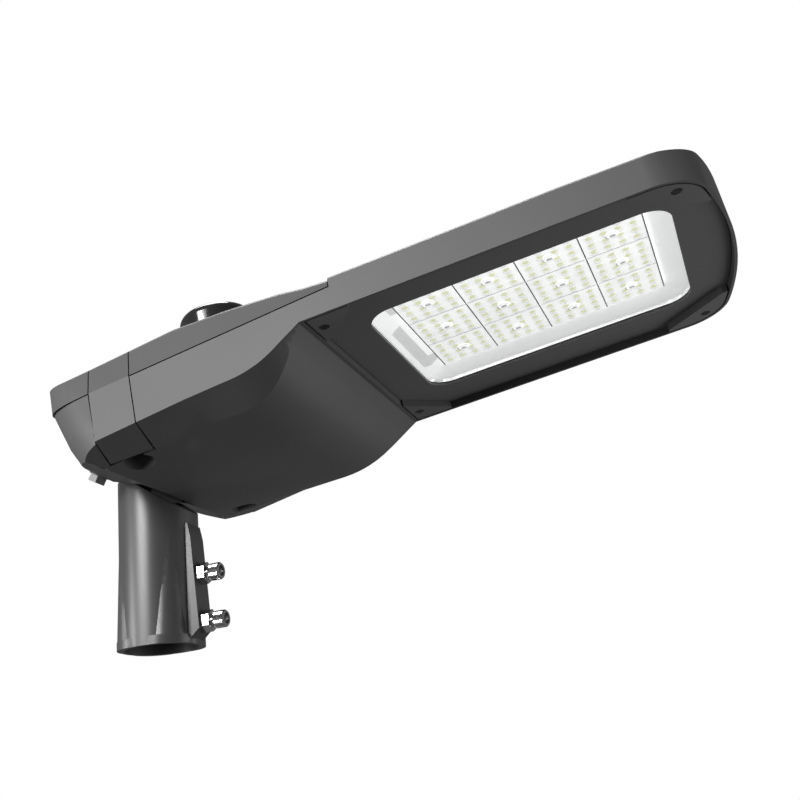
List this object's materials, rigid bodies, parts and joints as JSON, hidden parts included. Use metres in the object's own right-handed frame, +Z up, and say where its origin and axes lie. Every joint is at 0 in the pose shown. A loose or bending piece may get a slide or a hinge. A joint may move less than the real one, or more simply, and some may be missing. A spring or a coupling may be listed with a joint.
{
  "type": "street light head",
  "caption": "Flat LED street light head with a tilting pole-top spigot, a hinged gear cover with a round light sensor, side latches and a square window in its underside.",
  "frame": {"origin": "centre of the pole socket's mouth, under the spigot's flange", "axes": "+Z up along the pole, +X towards the nose of the head, +Y to its far side; at rest the head is tilted 7.5 degrees nose up"},
  "size_m": [0.5642, 0.268, 0.2917],
  "materials": {
    "painted_metal": "charcoal powder coat",
    "bright_steel": "bright plated steel",
    "plain_steel": "zinc plated",
    "seal": "black silicone",
    "glass": "clear tempered glass",
    "white_sheet": "white",
    "lens": "clear moulded lens plate",
    "black_cap": "glossy black",
    "dark_plastic": "black moulding",
    "driver_case": "plain"
  },
  "bodies": {
    "spigot": {"spigot": "painted_metal", "set_screws": "bright_steel", "lock_nuts": "bright_steel"},
    "head": {"housing": "painted_metal", "pivot_bolt": "plain_steel", "pivot_nut": "plain_steel", "rear_bolts": "bright_steel", "hinge_pins": "plain_steel", "cover_gasket": "seal", "latch_pins": "plain_steel", "window_frame": "painted_metal", "window_gasket": "seal", "window_glass": "glass", "reflector": "white_sheet", "led_board": "white_sheet", "lens_01": "lens", "lens_02": "lens", "lens_03": "lens", "lens_04": "lens", "lens_05": "lens", "lens_06": "lens", "lens_07": "lens", "lens_08": "lens", "lens_09": "lens", "lens_10": "lens", "lens_11": "lens", "lens_12": "lens", "lens_screws": "bright_steel", "corner_cap_front_near": "painted_metal", "corner_cap_front_far": "painted_metal", "corner_cap_rear_near": "painted_metal", "corner_cap_rear_far": "painted_metal", "cap_screws": "bright_steel", "gear_tray": "plain_steel", "tray_screws": "plain_steel", "led_driver": "driver_case", "surge_protector": "dark_plastic", "terminal_block": "dark_plastic", "cable_gland": "dark_plastic"},
    "cover": {"gear_cover": "painted_metal", "sensor_socket": "dark_plastic", "sensor_gasket": "seal", "sensor_base": "dark_plastic", "sensor_cap": "black_cap"},
    "latch_near": {"latch_near": "painted_metal"},
    "latch_far": {"latch_far": "painted_metal"}
  },
  "joints": [
    {"name": "head_tilt", "type": "hinge", "parent": "spigot", "child": "head", "pos_m": [-0.0023, 0, 0.152], "axis": [0, -1, 0], "range_deg": [-7.5, 7.5]},
    {"name": "cover_hinge", "type": "hinge", "parent": "head", "child": "cover", "pos_m": [0.22153, 0, 0.25611], "axis": [0, 1, 0], "range_deg": [0, 30]},
    {"name": "latch_near_hinge", "type": "hinge", "parent": "head", "child": "latch_near", "pos_m": [0.04516, -0.1007, 0.13929], "axis": [0.9914, 0, 0.1305], "range_deg": [0, 90]},
    {"name": "latch_far_hinge", "type": "hinge", "parent": "head", "child": "latch_far", "pos_m": [0.04516, 0.1007, 0.13929], "axis": [-0.9914, 0, -0.1305], "range_deg": [0, 90]}
  ],
  "couplings": [
    {"joint": "latch_near_hinge", "follows": "cover_hinge", "ratio": 3},
    {"joint": "latch_far_hinge", "follows": "cover_hinge", "ratio": 3}
  ]
}
